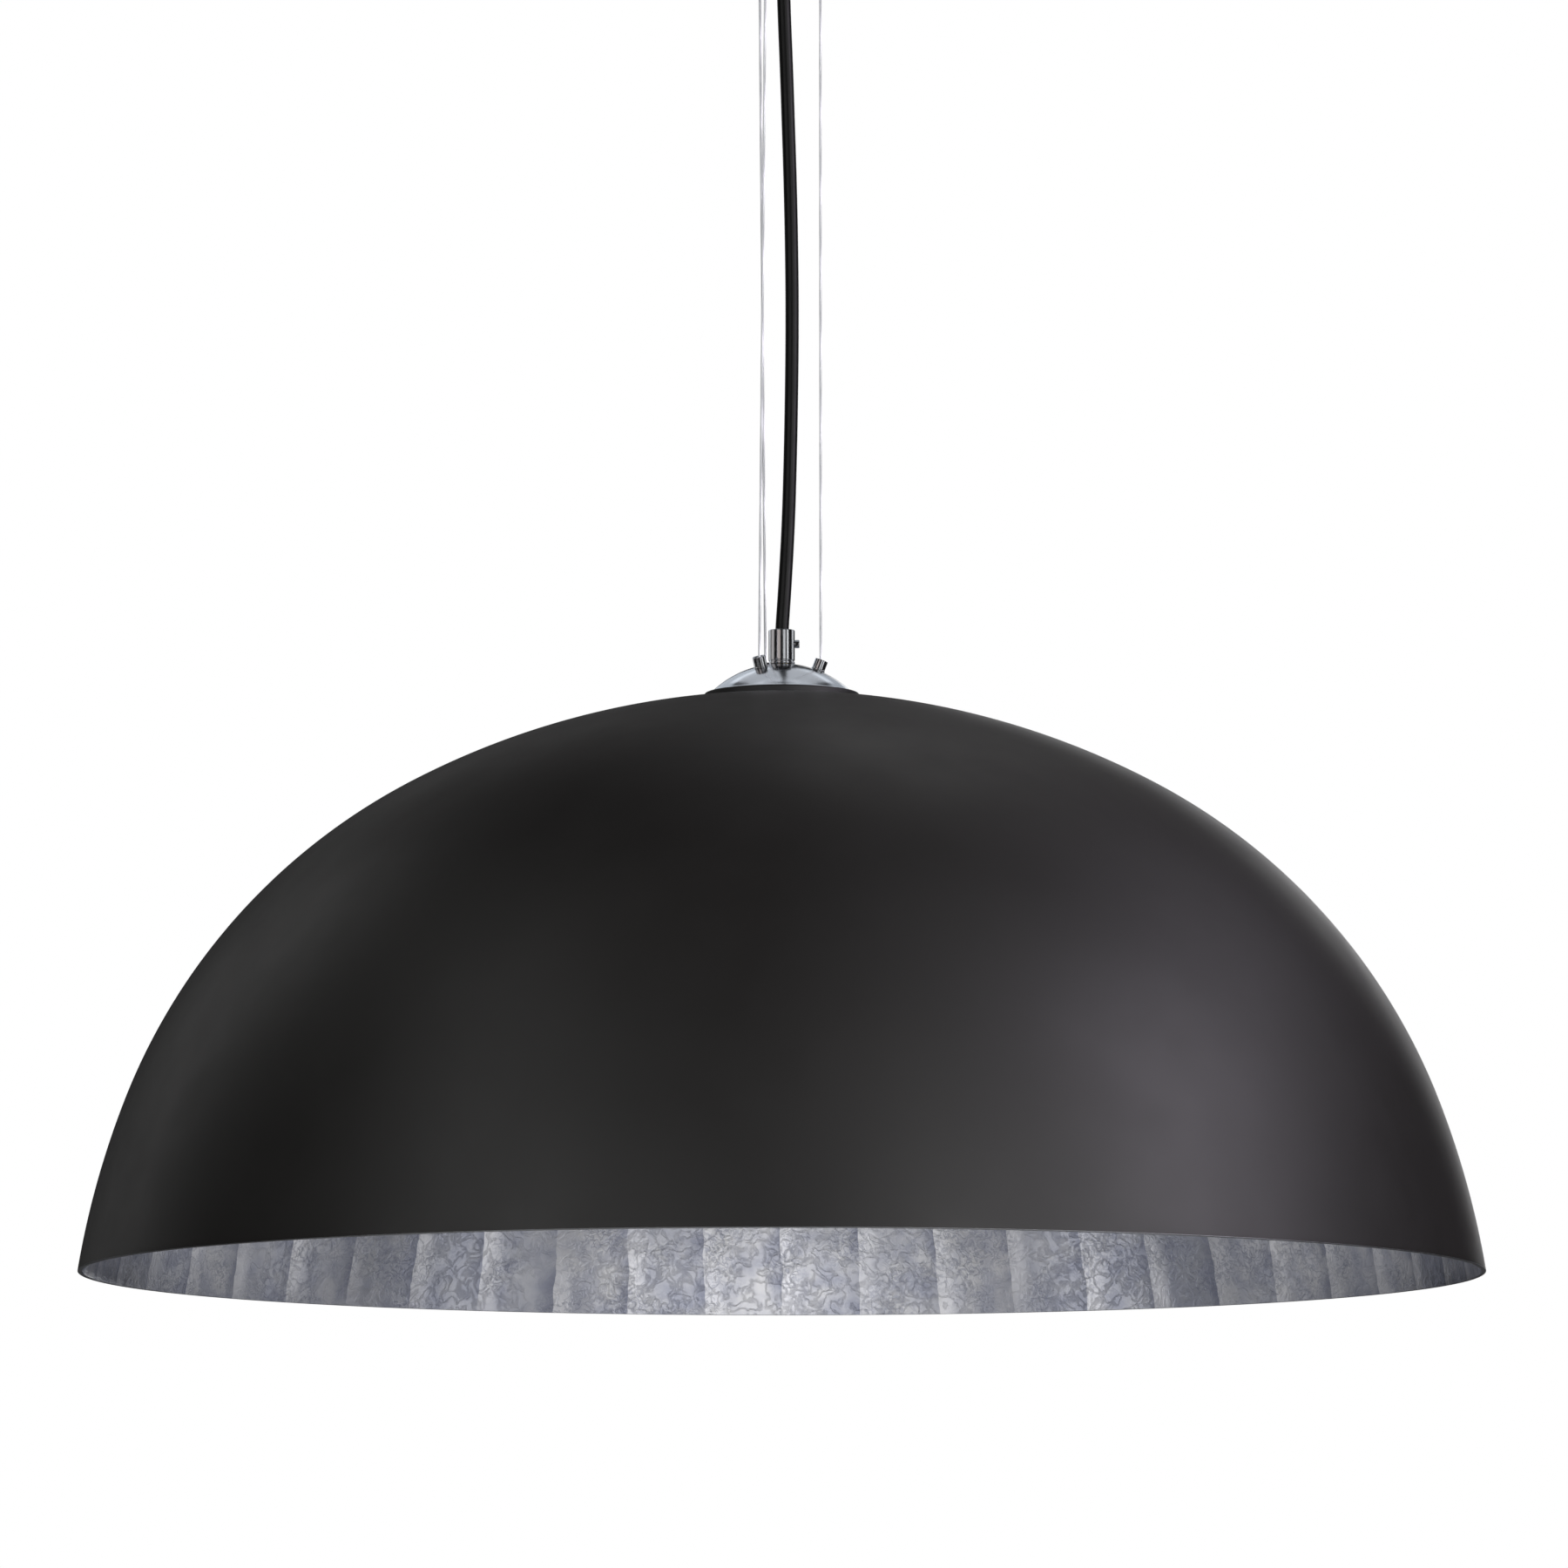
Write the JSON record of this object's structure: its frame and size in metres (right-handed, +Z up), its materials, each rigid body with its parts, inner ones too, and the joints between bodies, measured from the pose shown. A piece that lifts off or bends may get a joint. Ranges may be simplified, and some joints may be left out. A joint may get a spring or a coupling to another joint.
{
  "type": "pendant ceiling light",
  "caption": "Wide dome pendant, black outside and silver leafed inside, hung by thin steel wires and a flex from a round ceiling canopy.",
  "frame": {"origin": "centre of the ceiling bracket's top face, where it meets the ceiling", "axes": "+Z up, out of the bracket's face into the ceiling, along the shade's axis; +X to the right suspension wire"},
  "size_m": [0.7, 0.6998, 0.7104],
  "materials": {
    "black_powder_coat": "matte black powder coat on pressed steel",
    "black_shade_coat": "matte black powder coat on spun aluminium, with a bare rim edge",
    "silver_leaf": "silver leaf laid in strips, lightly crinkled, clear lacquer",
    "bright_nickel": "polished nickel plate",
    "zinc_steel": "bright zinc plated steel",
    "wire_steel": "stranded stainless steel wire",
    "turned_brass": "turned brass, unlacquered",
    "flex_sheath": "smooth black PVC sheath",
    "core_insulation": "coloured PVC core insulation",
    "black_rubber": "moulded black rubber",
    "black_phenolic": "moulded black phenolic",
    "white_polyamide": "natural moulded polyamide",
    "porcelain": "glazed porcelain",
    "opal_glass": "opal white glass",
    "base_alloy": "rolled nickel plated shell"
  },
  "bodies": {
    "ceiling_bracket": {"ceiling_bracket": "zinc_steel", "side_screws": "bright_nickel", "earth_screw": "turned_brass"},
    "canopy": {"canopy_cup": "black_powder_coat", "cord_bush": "black_phenolic", "cord_bush_nut": "black_phenolic", "gripper_right": "bright_nickel", "gripper_rear": "bright_nickel", "gripper_front": "bright_nickel", "gripper_nuts": "bright_nickel", "terminal_block": "white_polyamide", "terminal_screws": "turned_brass", "upper_flex": "flex_sheath", "upper_cores": "core_insulation"},
    "release_tip_right": {"release_tip_right": "bright_nickel"},
    "release_tip_rear": {"release_tip_rear": "bright_nickel"},
    "release_tip_front": {"release_tip_front": "bright_nickel"},
    "upper_ball_right": {"upper_ball_right": "wire_steel"},
    "wire_right": {"wire_right": "wire_steel"},
    "upper_ball_rear": {"upper_ball_rear": "wire_steel"},
    "wire_rear": {"wire_rear": "wire_steel"},
    "upper_ball_front": {"upper_ball_front": "wire_steel"},
    "wire_front": {"wire_front": "wire_steel"},
    "cord_grommet": {"cord_grommet": "black_rubber"},
    "power_cord": {"power_cord": "flex_sheath"},
    "lower_ball_right": {"lower_ball_right": "wire_steel"},
    "pendant": {"cap": "bright_nickel", "cap_gasket": "black_rubber", "anchor_right": "bright_nickel", "anchor_rear": "bright_nickel", "anchor_front": "bright_nickel", "anchor_nuts": "zinc_steel", "cord_grip": "bright_nickel", "grip_screw": "bright_nickel", "stem": "turned_brass", "shade": "black_shade_coat", "silver_leaf": "silver_leaf", "inner_disc": "zinc_steel", "lock_nut": "turned_brass", "lower_flex": "flex_sheath", "lampholder_cap": "black_phenolic", "lampholder_body": "black_phenolic", "lampholder_ring": "black_phenolic", "lampholder_insert": "porcelain", "lampholder_terminals": "turned_brass", "lampholder_shell": "turned_brass", "lampholder_contacts": "turned_brass", "lower_cores": "core_insulation"},
    "bulb": {"bulb_glass": "opal_glass", "bulb_base": "base_alloy", "bulb_insulator": "black_phenolic", "bulb_contact": "turned_brass"}
  },
  "joints": [
    {"name": "canopy_lower", "type": "slide", "parent": "ceiling_bracket", "child": "canopy", "axis": [0, 0, 1], "range_m": [-0.06, 0]},
    {"name": "release_right", "type": "slide", "parent": "canopy", "child": "release_tip_right", "axis": [0, 0, 1], "range_m": [0, 0.0014], "stiffness_N_per_m": 400, "springref_m": -0.003},
    {"name": "release_rear", "type": "slide", "parent": "canopy", "child": "release_tip_rear", "axis": [0, 0, 1], "range_m": [0, 0.0014], "stiffness_N_per_m": 400, "springref_m": -0.003},
    {"name": "release_front", "type": "slide", "parent": "canopy", "child": "release_tip_front", "axis": [0, 0, 1], "range_m": [0, 0.0014], "stiffness_N_per_m": 400, "springref_m": -0.003},
    {"name": "swing_front_back", "type": "hinge", "parent": "canopy", "child": "upper_ball_right", "pos_m": [0.01951, 0.00188, -0.0363], "axis": [1, 0, 0], "range_deg": [-5, 5]},
    {"name": "swing_sideways", "type": "hinge", "parent": "upper_ball_right", "child": "wire_right", "pos_m": [0.01951, 0.00188, -0.0363], "axis": [0, 1, 0], "range_deg": [-5, 5]},
    {"name": "wire_rear_front_back", "type": "hinge", "parent": "canopy", "child": "upper_ball_rear", "pos_m": [-0.01138, 0.01596, -0.0363], "axis": [1, 0, 0], "range_deg": [-5, 5]},
    {"name": "wire_rear_sideways", "type": "hinge", "parent": "upper_ball_rear", "child": "wire_rear", "pos_m": [-0.01138, 0.01596, -0.0363], "axis": [0, 1, 0], "range_deg": [-5, 5]},
    {"name": "wire_front_front_back", "type": "hinge", "parent": "canopy", "child": "upper_ball_front", "pos_m": [-0.00813, -0.01784, -0.0363], "axis": [1, 0, 0], "range_deg": [-5, 5]},
    {"name": "wire_front_sideways", "type": "hinge", "parent": "upper_ball_front", "child": "wire_front", "pos_m": [-0.00813, -0.01784, -0.0363], "axis": [0, 1, 0], "range_deg": [-5, 5]},
    {"name": "cord_front_back", "type": "hinge", "parent": "canopy", "child": "cord_grommet", "pos_m": [0, 0, -0.02207], "axis": [1, 0, 0], "range_deg": [-5, 5]},
    {"name": "cord_sideways", "type": "hinge", "parent": "cord_grommet", "child": "power_cord", "pos_m": [0, 0, -0.02207], "axis": [0, 1, 0], "range_deg": [-5, 5]},
    {"name": "level_sideways", "type": "hinge", "parent": "wire_right", "child": "lower_ball_right", "pos_m": [0.01953, -0.00171, -0.40323], "axis": [0, 1, 0], "range_deg": [-5, 5]},
    {"name": "level_front_back", "type": "hinge", "parent": "lower_ball_right", "child": "pendant", "pos_m": [0.01953, -0.00171, -0.40323], "axis": [1, 0, 0], "range_deg": [-5, 5]},
    {"name": "bulb_release", "type": "slide", "parent": "pendant", "child": "bulb", "axis": [0, 0, -1], "range_m": [0, 0.06]}
  ],
  "couplings": [
    {"joint": "wire_rear_front_back", "follows": "swing_front_back", "ratio": 1},
    {"joint": "wire_rear_sideways", "follows": "swing_sideways", "ratio": 1},
    {"joint": "wire_front_front_back", "follows": "swing_front_back", "ratio": 1},
    {"joint": "wire_front_sideways", "follows": "swing_sideways", "ratio": 1},
    {"joint": "cord_front_back", "follows": "swing_front_back", "ratio": 1},
    {"joint": "cord_sideways", "follows": "swing_sideways", "ratio": 1},
    {"joint": "level_sideways", "follows": "swing_sideways", "ratio": -1},
    {"joint": "level_front_back", "follows": "swing_front_back", "ratio": -1}
  ]
}
